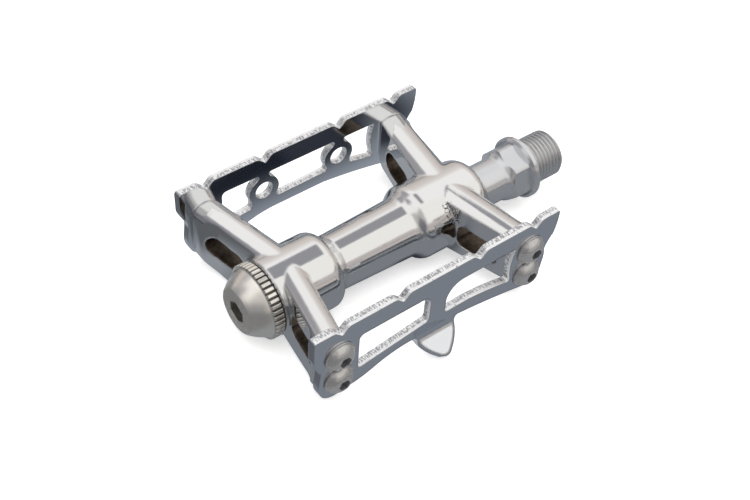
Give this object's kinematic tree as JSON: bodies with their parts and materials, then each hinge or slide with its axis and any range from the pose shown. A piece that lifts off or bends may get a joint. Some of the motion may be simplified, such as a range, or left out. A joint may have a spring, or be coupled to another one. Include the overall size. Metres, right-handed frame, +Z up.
{
  "type": "track pedal",
  "caption": "Track pedal for a left crank: polished body with hollow arms, two toothed side plates, flip tab, knurled dust cap and a threaded axle that spins on loose balls.",
  "frame": {"origin": "on the axle's axis, at the flange face that seats against the crank", "axes": "+X along the axle towards the crank, +Y towards the front side plate, +Z up"},
  "size_m": [0.1111, 0.0727, 0.0284],
  "materials": {
    "body": "polished",
    "plate": "satin anodised",
    "axle": "turned",
    "cap": "satin",
    "ring": "matte",
    "seal": "matte",
    "screw": "satin",
    "race": "ground",
    "small_steel": "plated",
    "ball": "polished"
  },
  "bodies": {
    "axle": {"axle": "axle", "adjusting_cone": "race", "lock_washer": "small_steel", "lock_nut": "small_steel"},
    "pedal": {"pedal_body": "body", "rear_plate": "plate", "front_plate": "plate", "rear_outboard_upper_screw": "screw", "rear_outboard_lower_screw": "screw", "rear_inboard_upper_screw": "screw", "rear_inboard_lower_screw": "screw", "front_outboard_upper_screw": "screw", "front_outboard_lower_screw": "screw", "front_inboard_upper_screw": "screw", "front_inboard_lower_screw": "screw", "inboard_cup": "race", "outboard_cup": "race", "inboard_seal": "seal", "inboard_cover": "body", "dust_cap": "cap", "dust_cap_ring": "ring"},
    "inboard_ball_row": {"inboard_ball_01": "ball", "inboard_ball_02": "ball", "inboard_ball_03": "ball", "inboard_ball_04": "ball", "inboard_ball_05": "ball", "inboard_ball_06": "ball", "inboard_ball_07": "ball", "inboard_ball_08": "ball", "inboard_ball_09": "ball", "inboard_ball_10": "ball", "inboard_ball_11": "ball", "inboard_ball_12": "ball"},
    "outboard_ball_row": {"outboard_ball_01": "ball", "outboard_ball_02": "ball", "outboard_ball_03": "ball", "outboard_ball_04": "ball", "outboard_ball_05": "ball", "outboard_ball_06": "ball", "outboard_ball_07": "ball", "outboard_ball_08": "ball", "outboard_ball_09": "ball", "outboard_ball_10": "ball", "outboard_ball_11": "ball"}
  },
  "joints": [
    {"name": "pedal_spin", "type": "hinge", "parent": "axle", "child": "pedal", "pos_m": [-0.05, 0, 0], "axis": [1, 0, 0], "continuous": true},
    {"name": "inboard_balls_orbit", "type": "hinge", "parent": "axle", "child": "inboard_ball_row", "pos_m": [-0.024, 0, 0], "axis": [1, 0, 0], "continuous": true},
    {"name": "outboard_balls_orbit", "type": "hinge", "parent": "axle", "child": "outboard_ball_row", "pos_m": [-0.0836, 0, 0], "axis": [1, 0, 0], "continuous": true}
  ],
  "couplings": [
    {"joint": "inboard_balls_orbit", "follows": "pedal_spin", "ratio": 0.585},
    {"joint": "outboard_balls_orbit", "follows": "pedal_spin", "ratio": 0.5935}
  ]
}
